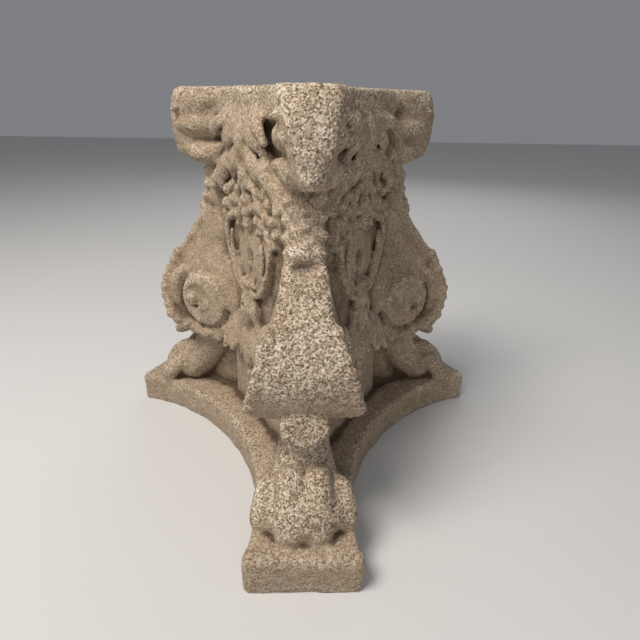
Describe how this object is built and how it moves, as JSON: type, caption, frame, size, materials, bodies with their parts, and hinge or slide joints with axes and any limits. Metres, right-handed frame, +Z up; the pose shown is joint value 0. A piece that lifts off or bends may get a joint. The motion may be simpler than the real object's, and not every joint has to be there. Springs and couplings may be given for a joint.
{
  "type": "three-legged pedestal",
  "caption": "Cast-stone tripod pedestal with scroll legs, lion paws and beast heads, which carries a slab, bowl or planter on its flat top.",
  "frame": {"origin": "where the pedestal's axis meets the underside of the plinth", "axes": "+Z up along the pedestal's axis; -Y towards the leg with the broken leaf tip; +X to the right seen from that leg"},
  "size_m": [0.5712, 0.498, 0.508],
  "materials": {
    "cast_stone": "weathered cast stone with the aggregate exposed, pitted and granular"
  },
  "bodies": {
    "root": {"pedestal": "cast_stone"}
  },
  "joints": []
}
